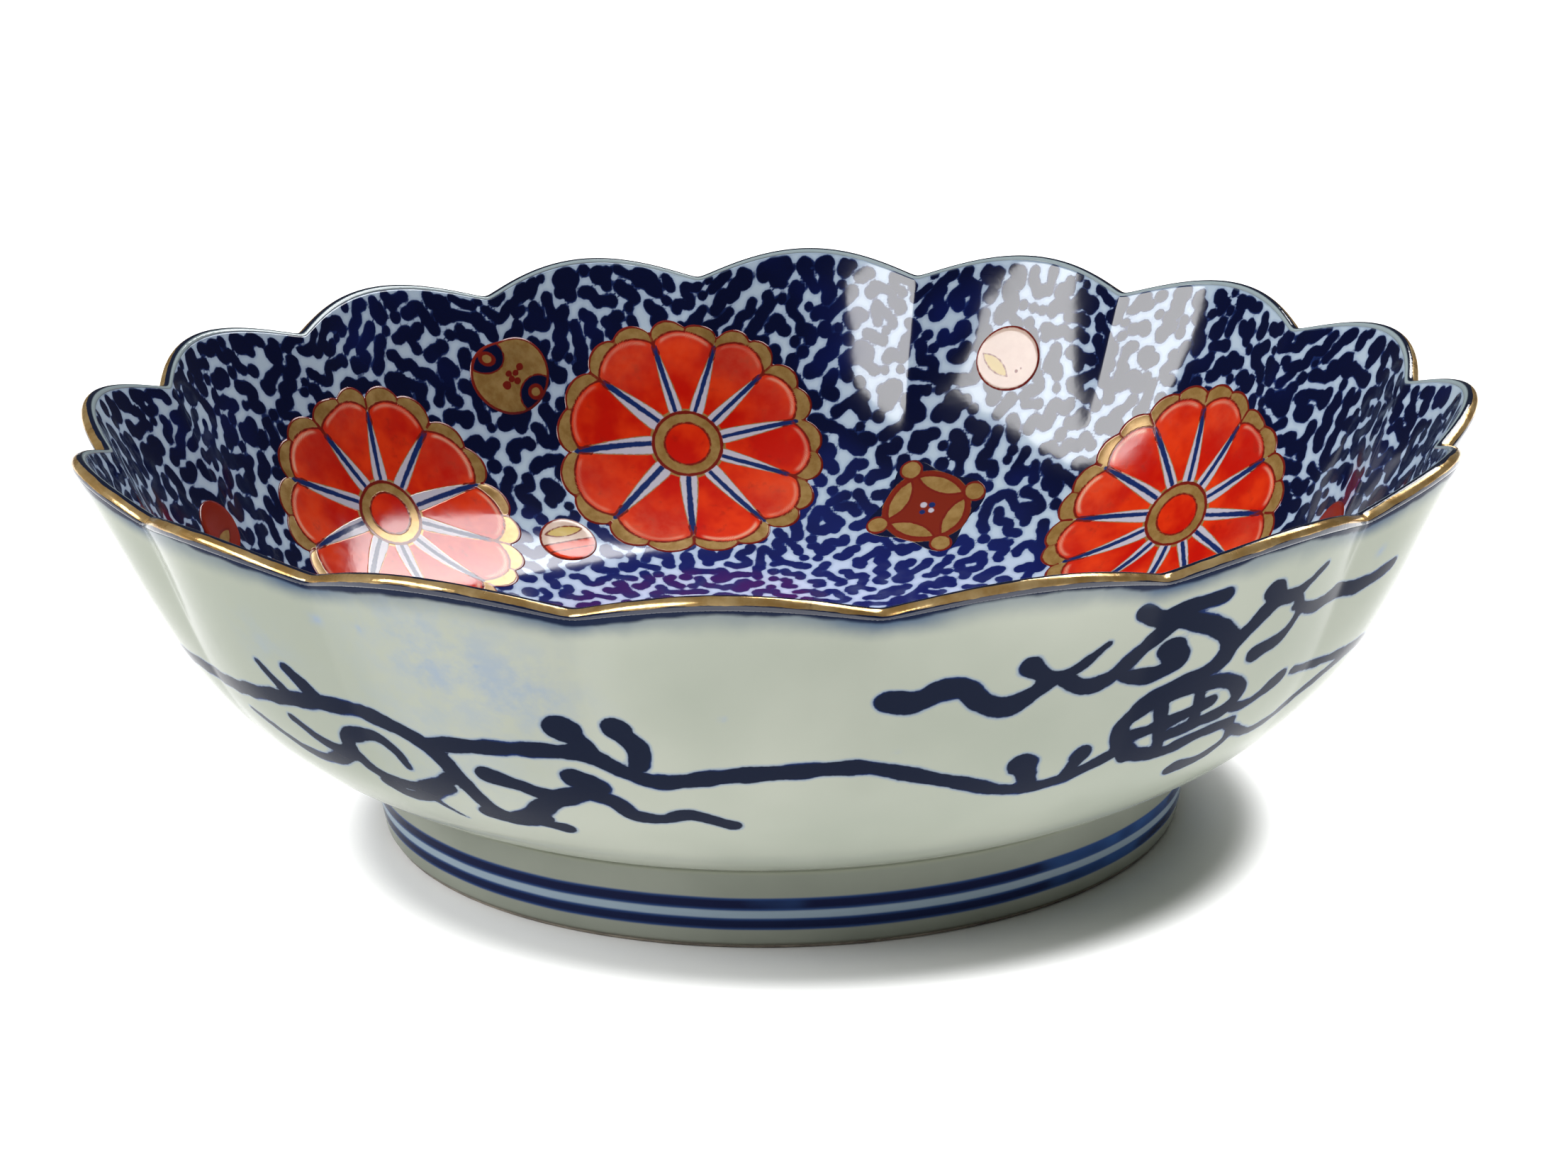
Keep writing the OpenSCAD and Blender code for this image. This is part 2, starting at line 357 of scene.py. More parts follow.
# Brush strokes of the vine outside: (angle, distance up the wall) along each stroke, then the half
# widths at its start, middle and end. The vine comes twice round the bowl.
VINE_REPEATS = 2
VINE = [
    ([(195, 44), (207, 46), (218, 47), (230, 50.5), (237.5, 51.5), (243.5, 47), (245.5, 39), (247, 31.5),
      (249.5, 30), (254, 37), (257, 40)], (1.4, 1.8, 2.1)),
    ([(257, 40), (259.5, 38), (261, 34.5), (263.5, 34), (266, 35.5), (269.5, 32.5)], (2.0, 1.5, 1.5)),
    ([(243.5, 47.5), (250, 49), (257.5, 49.5), (261, 46), (264, 44), (270, 46), (278, 47), (282, 46),
      (289, 41), (292, 38.5), (295, 37.5), (298, 38), (300.5, 40), (304, 43)], (1.7, 1.8, 1.4)),
    ([(256.3, 55), (256.8, 54.4)], (2.6, 2.6, 2.5)),
    ([(256.8, 54), (258, 51.6), (258.6, 49.5)], (2.2, 1.7, 1.6)),
    ([(260.8, 55.8), (261.3, 55)], (2.4, 2.5, 2.4)),
    ([(261.4, 54.5), (262.5, 51.5), (262.4, 48)], (2.0, 2.2, 1.7)),
    ([(293.8, 44), (294.2, 43.6)], (2.5, 2.5, 2.4)),
    ([(294.3, 42.5), (295.2, 38)], (1.9, 1.6, 1.6)),
    ([(299.4, 44), (299.3, 43.6)], (2.2, 2.2, 2.2)),
    ([(299.3, 43), (298.5, 39)], (1.6, 1.3, 1.2)),
    ([(227, 57.2), (229, 51)], (0.8, 1.2, 1.5)),
    ([(230.5, 57.5), (232.8, 51.5)], (1.4, 1.9, 1.7)),
    ([(219.5, 42), (222, 40), (226, 36), (229.5, 36), (233.5, 40)], (0.6, 1.4, 1.8)),
    ([(227.5, 45), (230.5, 40.5), (233.5, 40)], (1.0, 1.3, 1.8)),
    ([(233.5, 40), (234, 44), (236, 46), (238, 46), (239.5, 43.5), (240, 40)], (1.8, 1.6, 0.9)),
    ([(233.5, 41), (235, 36), (238, 34), (241, 35.5), (245, 40)], (1.7, 1.5, 1.5)),
    ([(235.5, 33), (237.5, 30.5), (240.5, 32.5), (243.5, 36.5)], (1.6, 1.7, 1.4)),
    ([(240, 32.5), (241.5, 28), (242.5, 26)], (1.1, 0.7, 0.4)),
    ([(248.5, 42), (251, 40.5), (253.5, 38.5), (256, 38.5)], (1.9, 1.7, 1.6)),
    ([(256.5, 43.5), (258.5, 41.5)], (2.3, 2.3, 2.0)),
    ([(246, 30), (249, 28.5), (252, 31)], (1.7, 1.9, 1.8)),
    ([(250.5, 29.5), (253.5, 28)], (1.6, 1.4, 1.7)),
    ([(282, 61), (284, 60.5), (286, 62.5), (287.7, 62.3), (289, 59.5), (291, 57.5), (293, 59.5), (294.5, 62),
      (296.5, 63.5), (299, 68)], (2.4, 2.2, 0.7)),
    ([(292.5, 65.5), (294.3, 62.3)], (2.2, 1.7, 1.5)),
    ([(295.5, 62.3), (297.5, 59.5), (300, 60.5), (303.5, 67), (305.5, 70), (308, 68), (310.5, 64), (311, 59),
      (308.5, 56), (305.5, 54), (303, 49), (303.2, 45), (304.7, 41)], (1.7, 1.9, 1.9)),
    ([(302, 74), (304, 71.8), (306.5, 73), (308.7, 73.4)], (2.2, 2.3, 1.8)),
    ([(305.5, 64), (306.2, 61), (304.3, 59), (301.5, 60)], (2.4, 1.9, 1.5)),
    ([(310.8, 60), (312.5, 64), (314.5, 68.5), (317, 69), (319.8, 73.5)], (1.7, 1.9, 0.7)),
    ([(313.7, 71.3), (314.7, 69)], (2.2, 2.0, 1.7)),
    ([(317, 69), (318.3, 64.5), (317.3, 60), (314.5, 58)], (1.0, 1.1, 2.0)),
    ([(317.5, 66), (321, 64), (325, 65), (329, 63.5), (333.5, 64.5)], (1.1, 1.9, 1.5)),
    ([(303.5, 50), (306, 53), (309.5, 54), (312.5, 53.5), (314.7, 50), (314, 46.5), (311, 45), (307.5, 43.5)],
     (1.5, 1.7, 1.5)),
    ([(303.7, 45.5), (307.2, 46.8), (311.5, 49.5)], (1.5, 1.5, 1.5)),
    ([(304.7, 41), (308.5, 39.5), (312, 41.5), (316, 42.5)], (1.7, 1.6, 1.3)),
    ([(306, 54), (306.8, 47), (307.8, 41)], (1.3, 1.3, 1.3)),
    ([(309.8, 54), (310.2, 49), (310.6, 45)], (1.2, 1.2, 1.2)),
    ([(316, 42.5), (317, 37.5), (315, 33.5), (312, 33)], (1.1, 1.2, 2.0)),
    ([(314.2, 46.5), (317, 46), (320.5, 49.5)], (1.2, 1.1, 1.9)),
    ([(315, 42.5), (320, 37), (324, 37.5), (328.5, 42), (336, 46), (348, 44), (362, 43), (376, 44)],
     (1.1, 1.2, 1.4)),
    ([(322.5, 49.5), (327, 48), (332, 47), (337, 46.5)], (0.9, 1.1, 1.3)),
]

# Blue-grey stains and specks in the outside glaze: angle, distance up the wall, size and strength.
STAINS = [
    (247, 72, 15, 0.40), (245, 46, 14, 0.30), (254, 62, 9, 0.60), (247, 66, 7, 0.35), (236, 71.5, 1.3, 0.9),
    (241, 71.5, 1.0, 0.8), (229, 62, 6, 0.3), (269.5, 58.5, 0.45, 1.0), (251, 66.5, 0.4, 0.9),
    (283, 50, 0.35, 0.8), (20, 60, 8, 0.4), (75, 64, 9, 0.5), (118, 57, 0.5, 1.0), (140, 66, 7, 0.4),
    (166, 70, 1.4, 0.8), (330, 70, 1.2, 0.7), (345, 58, 0.5, 1.0),
]
NO_STROKE = -30.0          # what the vine's field holds far from every stroke


def vine_field(angle, up):
    """Distance in mm inside the nearest brush stroke, negative outside it."""
    field = np.full(angle.shape, NO_STROKE)
    rng = np.random.default_rng(7)
    for turn in range(VINE_REPEATS):
        for stroke, widths in VINE:
            shift = rng.normal(0, (0.35, 0.35), (len(stroke), 2)) if turn else np.zeros((len(stroke), 2))
            points = np.array(stroke, float) + shift
            mm_per_degree = OUTSIDE.at(points[:, 1].mean())[0] * pi / 180
            points[:, 0] *= mm_per_degree
            path, share = smooth_path(points)
            half = np.interp(share, (0, 0.5, 1), widths)
            half = half * (1 + 0.09 * np.sin(path[:, 0] * 0.8 + path[:, 1] * 0.5))
            centre = path[:, 0].mean() / mm_per_degree + turn * 360 / VINE_REPEATS
            across = (np.degrees(angle) - centre + 180) % 360 - 180
            across = across * mm_per_degree + path[:, 0].mean()
            near = (across > path[:, 0].min() - 6) & (across < path[:, 0].max() + 6)
            near &= (up > path[:, 1].min() - 6) & (up < path[:, 1].max() + 6)
            spot = np.stack([across[near], up[near]], -1)
            gap = np.linalg.norm(spot[:, None] - path[None], axis=-1) - half[None]
            field[near] = np.maximum(field[near], -gap.min(axis=1))
    return field


# ---- Materials ----

class Paint:
    """A short way to build a node material. Lengths in the textures are in mm."""

    def __init__(self, name):
        self.material = bpy.data.materials.new(name)
        self.material.use_nodes = True
        self.tree = self.material.node_tree
        self.tree.nodes.clear()
        self.shader = self.add("ShaderNodeBsdfPrincipled")
        output = self.add("ShaderNodeOutputMaterial")
        self.tree.links.new(self.shader.outputs[0], output.inputs[0])
        self.place = self.add("ShaderNodeTexCoord").outputs["Object"]

    def add(self, kind):
        return self.tree.nodes.new(kind)

    def feed(self, socket, value):
        """Links a socket, or sets it if value is a number or a colour."""
        if isinstance(value, bpy.types.NodeSocket):
            self.tree.links.new(value, socket)
        elif isinstance(value, (tuple, list)) and len(value) == 3 and len(socket.default_value) == 4:
            socket.default_value = (*value, 1)
        else:
            socket.default_value = value

    def field(self, name):
        node = self.add("ShaderNodeAttribute")
        node.attribute_name = name
        return node.outputs["Fac"]

    def math(self, operation, a, b, clamp=False):
        node = self.add("ShaderNodeMath")
        node.operation = operation
        node.use_clamp = clamp
        self.feed(node.inputs[0], a)
        self.feed(node.inputs[1], b)
        return node.outputs[0]

    def plus(self, a, b):
        return self.math("ADD", a, b)

    def times(self, a, b):
        return self.math("MULTIPLY", a, b)

    def measure(self, operation, point):
        """The distance to a point, or the dot product with it, in metres."""
        node = self.add("ShaderNodeVectorMath")
        node.operation = operation
        self.tree.links.new(self.place, node.inputs[0])
        node.inputs[1].default_value = point
        return node.outputs["Value"]

    def step(self, value, low, high, start=0.0, end=1.0):
        """A smooth step of value from start at low to end at high."""
        node = self.add("ShaderNodeMapRange")
        node.interpolation_type = "SMOOTHSTEP"
        for socket, item in zip(node.inputs, (value, low, high, start, end)):
            self.feed(socket, item)
        return node.outputs[0]

    def mix(self, share, a, b):
        """Colour a where share is 0, and b where it is 1."""
        node = self.add("ShaderNodeMix")
        node.data_type = "RGBA"
        self.feed(node.inputs["Factor"], share)
        self.feed(node.inputs[6], a)
        self.feed(node.inputs[7], b)
        return node.outputs[2]

    def noise(self, size, detail=2.0, roughness=0.5):
        """Noise from 0 to 1 whose lumps are about size mm across."""
        node = self.add("ShaderNodeTexNoise")
        self.tree.links.new(self.place, node.inputs["Vector"])
        node.inputs["Scale"].default_value = 1 / (size * MM)
        node.inputs["Detail"].default_value = detail
        node.inputs["Roughness"].default_value = roughness
        return node.outputs["Fac"]

    def sway(self, size, detail, width):
        """Noise centred on 0 and width wide in all."""
        return self.times(self.math("SUBTRACT", self.noise(size, detail), 0.5), width)

    def specks(self, size, radius):
        """1 on small spots of a given radius, about size mm apart."""
        node = self.add("ShaderNodeTexVoronoi")
        self.tree.links.new(self.place, node.inputs["Vector"])
        node.inputs["Scale"].default_value = 1 / (size * MM)
        return self.step(node.outputs["Distance"], radius / size, radius / size * 0.6)

    def bump(self, height, depth, below=None):
        """A bump of height from 0 to 1, depth mm deep, over another bump if below is given."""
        node = self.add("ShaderNodeBump")
        self.feed(node.inputs["Height"], height)
        node.inputs["Distance"].default_value = depth * MM
        if below:
            self.tree.links.new(below, node.inputs["Normal"])
        return node.outputs["Normal"]

    def glaze(self, colour, roughness, ior, size=12):
        """Finishes a thick glaze, with its slow ripple and fine orange peel."""
        ripple = self.bump(self.noise(14, 1), 0.15)
        peel = self.bump(self.noise(1.6, 1), 0.006, below=ripple)
        rough = self.step(self.noise(size, 2), 0.2, 0.9, *roughness)
        return self.finish(colour, rough, peel, IOR=ior)

    def finish(self, colour, roughness, normal=None, **sockets):
        self.feed(self.shader.inputs["Base Color"], colour)
        self.feed(self.shader.inputs["Roughness"], roughness)
        if normal:
            self.feed(self.shader.inputs["Normal"], normal)
        for name, value in sockets.items():
            self.feed(self.shader.inputs[name.replace("_", " ")], value)
        return self.material


# Cobalt, thickest wash to thinnest, a violet painted reflection, and the pale glaze between the strokes.
NAVY = (0.0018, 0.0042, 0.032)
ROYAL = (0.004, 0.011, 0.115)
# Painted reflection: the red flowers reflected in the well, laid into the cobalt as a violet tint.
REFLECTED_FLOWER_VIOLET = (0.012, 0.015, 0.135)
THIN_BLUE = (0.035, 0.085, 0.34)
ICE = (0.55, 0.68, 0.77)
ICE_DEEP = (0.48, 0.61, 0.74)
ICE_WELL = (0.58, 0.67, 0.92)
ICE_BLED = (0.20, 0.30, 0.52)
LIP_SHADE = (0.10, 0.15, 0.25)
# The outside: its glaze, the painted scrolls and the line under the lip.
CELADON = (0.315, 0.33, 0.28)
CELADON_GREY = (0.25, 0.27, 0.225)
STAIN = (0.20, 0.25, 0.33)
IRON_SPECK = (0.12, 0.11, 0.09)
BASE_SPECK = (0.12, 0.10, 0.08)
INK = (0.007, 0.010, 0.022)
COBALT = (0.008, 0.022, 0.090)
INK_HALO = (0.09, 0.15, 0.28)
LINE = (0.006, 0.010, 0.028)
LINE_BLED = (0.045, 0.075, 0.125)
# The foot: its glaze and the two bands.
FOOT_GLAZE = (0.235, 0.25, 0.21)
FOOT_GREY = (0.19, 0.205, 0.17)
FOOT_JOIN = (0.25, 0.27, 0.19)
FOOT_EDGE = (0.25, 0.23, 0.18)
BAND_MIST = (0.22, 0.32, 0.45)
BAND_THIN = (0.03, 0.09, 0.27)
BAND_SIDE = (0.02, 0.05, 0.16)
CLAY = (0.72, 0.72, 0.68)
CLAY_GREY = (0.62, 0.62, 0.57)
TOASTED = (0.30, 0.26, 0.20)
TOASTED_DARK = (0.12, 0.10, 0.08)
# The gilding of the lip.
RIM_GLAZE = (0.34, 0.42, 0.44)
GOLD = (0.45, 0.265, 0.085)
GOLD_LIGHT = (0.68, 0.48, 0.22)
GOLD_WORN = (0.05, 0.028, 0.015)
# The enamels.
ENAMEL_GOLD = (0.34, 0.19, 0.05)
ENAMEL_GOLD_LIGHT = (0.48, 0.30, 0.10)
LEAF_GOLD = (0.66, 0.48, 0.13)
RED = (0.60, 0.006, 0.0005)
RED_LIGHT = (0.84, 0.044, 0.004)
RED_STREAK = (0.33, 0.007, 0.002)
RED_DIM = (0.20, 0.018, 0.006)
RED_DARK = (0.19, 0.012, 0.006)
PINK = (0.86, 0.26, 0.13)
CREAM = (0.90, 0.58, 0.38)
WHITE = (0.62, 0.57, 0.61)
WHITE_BLUE = (0.52, 0.52, 0.62)
BLUSH = (0.66, 0.47, 0.38)
BLUSH_LIGHT = (0.78, 0.62, 0.50)
ENAMEL_COBALT = (0.008, 0.025, 0.13)


def inside_glaze_material():
    """Cobalt strokes over pale glaze, brighter towards the well, with a painted violet reflection there."""
    p = Paint("glaze_inside")
    lip, reach = p.field("lip"), p.field("reach")
    brush = p.plus(p.field("scroll"), p.sway(1.5, 2, 0.35))
    wash = p.plus(p.noise(26, 2), p.step(reach, 120, 72, -0.12, 0.34))
    blue = p.mix(p.step(wash, 0.45, 0.80), NAVY, ROYAL)
    # Painted reflection: the strokes turn violet towards the well, where the red flowers are reflected.
    blue = p.mix(p.step(reach, 92, 58), blue, REFLECTED_FLOWER_VIOLET)
    thin = p.step(p.plus(brush, p.times(p.noise(2.5, 3), 0.5)), 0.62, 0.25)
    blue = p.mix(p.times(thin, 0.30), blue, THIN_BLUE)
    ice = p.mix(p.noise(12, 2), ICE, ICE_DEEP)
    ice = p.mix(p.step(reach, 100, 60), ice, ICE_WELL)
    ice = p.mix(p.step(brush, -0.8, -0.1, 0, 0.35), ice, ICE_BLED)
    colour = p.mix(p.step(brush, -0.13, 0.13), ice, blue)
    edge = p.step(p.plus(lip, p.times(p.noise(5, 2), 0.8)), 0.9, 0.5)
    colour = p.mix(p.times(edge, 0.4), colour, LIP_SHADE)
    return p.glaze(colour, (0.07, 0.13), 1.52, size=9)


def outside_glaze_material():
    """Grey-green glaze over ink scrolls and a dark line under the lip, widened with painted shade."""
    p = Paint("glaze_outside")
    brush, lip, notch = p.field("vine"), p.field("lip"), p.field("notch")
    tone = p.mix(p.step(p.noise(55, 3), 0.3, 0.7), CELADON, CELADON_GREY)
    stain = p.times(p.field("stain"), p.step(p.noise(5, 4, 0.65), 0.30, 0.70))
    tone = p.mix(stain, tone, STAIN)
    tone = p.mix(p.times(p.specks(26, 0.35), 0.7), tone, IRON_SPECK)
    edge = p.plus(brush, p.sway(2.2, 3, 0.7))
    tone = p.mix(p.step(edge, -0.65, 0.0, 0, 0.5), tone, INK_HALO)
    ink = p.mix(p.step(p.plus(edge, p.times(p.noise(9, 2), 1.2)), 0.35, 0.9), COBALT, INK)
    tone = p.mix(p.step(edge, -0.16, 0.16), tone, ink)
    reach = p.plus(lip, p.times(p.noise(8, 3), 3.0))
    bled = p.times(p.step(reach, 7.5, 1.5), p.step(notch, 0.0, 0.9, 0.55, 1.0))
    tone = p.mix(bled, tone, LINE_BLED)
    # Part cobalt line, part painted shade: drawn wider to take in the shade under the lip.
    uneven = p.plus(p.times(p.noise(6, 3), 1.8), p.times(p.noise(45, 1), 6))
    line = p.step(p.plus(lip, uneven), 5.6, 4.6)
    tone = p.mix(p.times(line, 0.97), tone, LINE)
    return p.glaze(tone, (0.08, 0.15), 1.07)


def foot_glaze_material():
    """Grey-green glaze over two cobalt bands, misty between them."""
    p = Paint("glaze_foot")
    up = p.measure("DOT_PRODUCT", (0, 0, 1 / MM))
    up = p.plus(up, p.sway(30, 2, 0.5))
    tone = p.mix(p.step(p.noise(30, 3), 0.3, 0.7), FOOT_GLAZE, FOOT_GREY)
    between_bands = p.times(p.step(up, 3.9, 5.2), p.step(up, 8.6, 7.0))
    tone = p.mix(p.times(between_bands, 0.55), tone, BAND_MIST)
    for low, high in FOOT_BANDS:
        band = p.times(p.step(up, low - 0.25, low + 0.20), p.step(up, high + 0.25, high - 0.20))
        shade = p.mix(p.step(p.noise(45, 3), 0.58, 0.75), NAVY, BAND_THIN)
        heart = p.times(p.step(up, low - 0.1, low + 0.7), p.step(up, high + 0.1, high - 0.7))
        shade = p.mix(heart, BAND_SIDE, shade)
        tone = p.mix(p.times(band, 0.97), tone, shade)
    tone = p.mix(p.times(p.step(up, 13.9, 14.8), 0.5), tone, FOOT_JOIN)
    tone = p.mix(p.times(p.step(up, 1.4, 0.8), 0.6), tone, FOOT_EDGE)
    return p.glaze(tone, (0.12, 0.20), 1.07)


def plain_glaze_material():
    p = Paint("glaze_base")
    tone = p.mix(p.step(p.noise(28, 3), 0.3, 0.7), CELADON, CELADON_GREY)
    tone = p.mix(p.times(p.specks(19, 0.4), 0.8), tone, BASE_SPECK)
    return p.glaze(tone, (0.12, 0.22), 1.5)


def bare_porcelain_material():
    p = Paint("bare_porcelain")
    tone = p.mix(p.step(p.noise(7, 4, 0.6), 0.3, 0.7), TOASTED, TOASTED_DARK)
    rough = p.step(p.noise(1.2, 3), 0.2, 0.8, 0.62, 0.85)
    return p.finish(tone, rough, p.bump(p.noise(0.7, 3), 0.12))


def porcelain_material():
    p = Paint("porcelain")
    tone = p.mix(p.noise(10, 3), CLAY, CLAY_GREY)
    return p.finish(tone, p.step(p.noise(2, 3), 0.2, 0.8, 0.5, 0.7), p.bump(p.noise(0.8, 3), 0.05))


def gilt_material():
    """Gilding on the outer half of the lip, between a dark line below it and pale glaze inside.

    round is the angle over the lip in degrees, from a little below level on the outside.
    """
    p = Paint("gilt")
    way = p.plus(p.field("round"), p.sway(6, 3, 34))
    worn = p.step(p.noise(9, 5, 0.7), 0.58, 0.70)
    gold = p.mix(p.step(p.noise(5, 4, 0.6), 0.35, 0.7), GOLD, GOLD_LIGHT)
    gold = p.mix(p.times(worn, 0.9), gold, GOLD_WORN)
    gilded = p.times(p.step(way, 8, 14), p.step(way, 76, 72))
    rim = p.mix(p.step(p.field("round"), 106, 122), LINE, RIM_GLAZE)
    colour = p.mix(gilded, p.mix(p.step(way, 40, 60), LINE, rim), gold)
    metal = p.times(gilded, p.step(worn, 0.0, 1.0, 0.65, 0.3))
    rough = p.step(p.noise(3, 4, 0.6), 0.25, 0.8, 0.10, 0.30)
    rough = p.times(rough, p.step(gilded, 0, 1, 0.4, 1.0))
    return p.finish(colour, rough, p.bump(p.noise(1.1, 3), 0.04), Metallic=metal)


def enamel_material():
    """One recipe for every enamel: gold, with each colour laid where its own field is over zero."""
    p = Paint("enamel")
    streak = p.noise(2.6, 4, 0.6)
    wide = p.noise(9, 3)
    wobble = p.sway(1.1, 2, 0.35)

    def cover(name, softness=0.14):
        return p.step(p.plus(p.field(name), wobble), -softness, softness)

    red = p.mix(p.step(wide, 0.35, 0.7), RED, RED_LIGHT)
    red = p.mix(p.step(streak, 0.55, 0.8, 0, 0.5), red, RED_STREAK)
    red = p.mix(p.times(p.field("glow"), p.step(streak, 0.2, 0.7, 0.3, 1.0)), red, PINK)
    red = p.mix(p.step(p.field("glow"), 0, -1), red, RED_DIM)
    red = p.mix(p.times(p.field("cream"), p.step(wide, 0.3, 0.6, 0.5, 1.0)), red, CREAM)
    pale = p.mix(streak, BLUSH, BLUSH_LIGHT)
    white = p.mix(p.noise(4, 2), WHITE, WHITE_BLUE)
    colour = p.mix(p.step(streak, 0.3, 0.7), ENAMEL_GOLD, ENAMEL_GOLD_LIGHT)
    layers = (
        ("red", red, 0.16), ("pale", pale, 0.2), ("leaf", LEAF_GOLD, 0.15), ("white", white, 0.14),
        ("cobalt", ENAMEL_COBALT, 0.14), ("navy", NAVY, 0.14), ("outline", RED_DARK, 0.12)
    )
    for name, shade, softness in layers:
        colour = p.mix(cover(name, softness), colour, shade)
    bare = cover("red")
    for name in ("white", "outline", "pale", "navy"):
        bare = p.math("MAXIMUM", bare, cover(name))
    metal = p.times(p.math("SUBTRACT", 1.0, bare, clamp=True), 0.25)
    rough = p.plus(p.step(streak, 0.2, 0.8, 0.08, 0.16), p.times(metal, 0.30))
    relief = p.bump(p.plus(p.times(bare, 0.4), p.times(streak, 0.35)), 0.05)
    return p.finish(colour, rough, relief, Metallic=metal, IOR=1.5)


# ---- Enamels ----

# The fields that the enamel material reads: distances inside each colour, and two shares of a tint.
ENAMEL_FIELDS = ("red", "pale", "leaf", "white", "cobalt", "navy", "outline", "glow", "cream")

CROWD_ANGLE = 300.0
HUB_R = 4.8
HUB_RING_R = 7.2
SLIVER_START = 7.4
PETAL_START = 8.0


def crowded(phi, bend):
    """Angles round a flower whose petals are uneven by hand: closer together on one side."""
    return phi - radians(bend) * np.cos(phi - radians(CROWD_ANGLE))


def flower_edge(petals, bend):
    """The edge of a flower: two small scallops to a petal, with a deeper notch between petals."""
    sector = 360 / petals

    def edge(phi):
        off = np.abs((np.degrees(crowded(phi, bend)) % sector) - sector / 2)
        from_scallop = np.radians(off - 0.21 * sector)
        centre, scallop = 0.828 * FLOWER_R, 0.172 * FLOWER_R
        return centre * np.cos(from_scallop) + np.sqrt(scallop ** 2 - (centre * np.sin(from_scallop)) ** 2)

    return edge


def flower_fields(petals, bend):
    """Paints a flower: red petals parted by white slivers with a blue line, in a gold border.

    The sizes are those of a flower of ten petals; with more of them each is narrower by tight.
    """
    sector = 2 * pi / petals
    tight = 10 / petals

    def fields(rho, phi, seed):
        rng = np.random.default_rng(seed)
        edge = flower_edge(petals, bend)(phi) - rho
        phi = crowded(phi, bend)
        petal_number = np.floor(phi / sector).astype(int) % petals
        off = (phi % sector) - sector / 2
        along, aside = rho * np.cos(off), rho * np.sin(off)
        to_side = rho * np.sin(sector / 2 - np.abs(off))
        side_number = (petal_number + (off > 0)) % petals

        sliver_end = rng.uniform(22.5, 25.5, petals)[side_number]
        way = np.clip((rho - SLIVER_START) / (sliver_end - SLIVER_START), 0, 1)
        sliver = rng.uniform(1.45, 1.9, petals)[side_number] * tight
        sliver = sliver * (1 - way ** 1.6) * smoothstep(way, -0.4, 0.1)
        white = np.where((rho > SLIVER_START) & (rho < sliver_end), sliver - to_side, -1)
        drift = rng.uniform(-0.3, 0.5, petals)[side_number] * np.sign(off) * (1 - way)
        line = 0.46 + 0.20 * way - 1.2 * smoothstep(way, 0.9, 1.0)
        cobalt = np.where(rho > SLIVER_START, line - np.abs(to_side - drift), -1)

        cap_r = rng.uniform(8.0, 8.7, petals)[petal_number] * tight
        cap_centre = 25.9 - 8.4 * tight
        cap = cap_r - np.hypot(np.maximum(along - cap_centre, 0), aside)
        petal = np.minimum(np.minimum(to_side - 0.15 - np.maximum(sliver, 0), cap), rho - PETAL_START)
        outline = union(
            np.where(cap < 2.5, band(petal, 0.24), -1),
            band(edge - 0.2, 0.34),
            band(rho - HUB_RING_R, 0.36),
            band(rho - HUB_R, 0.24),
            np.where(along > cap_centre + cap_r - 0.3, band(aside, 0.24), -1),
            np.where(rho > sliver_end - 0.4, 0.3 - to_side, -1),
        )
        cream = np.exp(-((cap - 0.85) / 0.32) ** 2)
        cream = cream * smoothstep(along, 14, 20) * smoothstep(to_side, 1.2, 2.4)
        cream = cream * rng.uniform(0.2, 0.9, petals)[petal_number]
        wash = rng.uniform(0.0, 0.20, petals)[petal_number] * smoothstep(rho, 11, 24)
        red = union(petal, HUB_R - rho)
        return blank(rho, red=red, white=white, cobalt=cobalt, outline=outline, glow=wash, cream=cream)

    return fields


def blank(rho, **fields):
    """All the enamel fields, empty but for the ones given."""
    empty = {name: np.full_like(rho, 0 if name in ("glow", "cream") else -1) for name in ENAMEL_FIELDS}
    return {**empty, **fields}


def band(distance, half):
    """Distance inside a line that far on each side of where distance is 0."""
    return half - np.abs(distance)


def union(*parts):
    return np.maximum.reduce(parts)


def spot(x, y, cx, cy, r):
    """Distance inside a round spot."""
    return r - np.hypot(x - cx, y - cy)


def lens(x, y, cx, cy, turn, length, width):
    """Distance inside a pointed oval."""
    a = radians(turn)
    u = (x - cx) * cos(a) + (y - cy) * sin(a)
    v = -(x - cx) * sin(a) + (y - cy) * cos(a)
    big = (length ** 2 / width + width) / 4
    return big - np.hypot(u, np.abs(v) + big - width / 2)


def by_place(painting):
    """Lets a painting be written in x across and y up, and rho from the middle."""
    return lambda rho, phi, seed: painting(rho * np.cos(phi), rho * np.sin(phi), rho)


def leaf_disc_fields(x, y, rho):
    notch = union(spot(x, y, -5.4, 5.4, 4.4), spot(x, y, 5.4, -5.6, 4.4))
    curl = union(spot(x, y, -4.8, 4.5, 1.4), spot(x, y, 4.8, -4.9, 1.4))
    blobs = union(
        spot(x, y, 2.3, 1.5, 0.9), spot(x, y, 1.0, 0.4, 0.75), spot(x, y, -0.7, 0.6, 0.8),
        spot(x, y, -1.6, -2.0, 1.0), spot(x, y, 1.1, -1.5, 0.85), spot(x, y, -0.2, -0.8, 0.8)
    )
    outline = union(band(LEAF_DISC_R - rho - 0.2, 0.38), band(notch, 0.2), band(curl, 0.42), blobs)
    return blank(rho, navy=np.minimum(notch, -curl), outline=outline)


def pale_disc_fields(x, y, rho):
    leaf = lens(x, y, -2.6, -1.6, -38, 7.5, 2.6)
    specks = union(spot(x, y, 2.3, -2.6, 0.35), spot(x, y, 3.2, -1.9, 0.25))
    outline = union(band(PALE_DISC_R - rho - 0.2, 0.24), band(leaf, 0.14), specks)
    return blank(rho, pale=np.full_like(rho, 1), leaf=leaf, outline=outline)


def diamond_edge(phi):
    return DIAMOND_R * (0.72 + 0.28 * np.abs(np.cos(2 * (phi - radians(DIAMOND_TURN)))) ** 3)


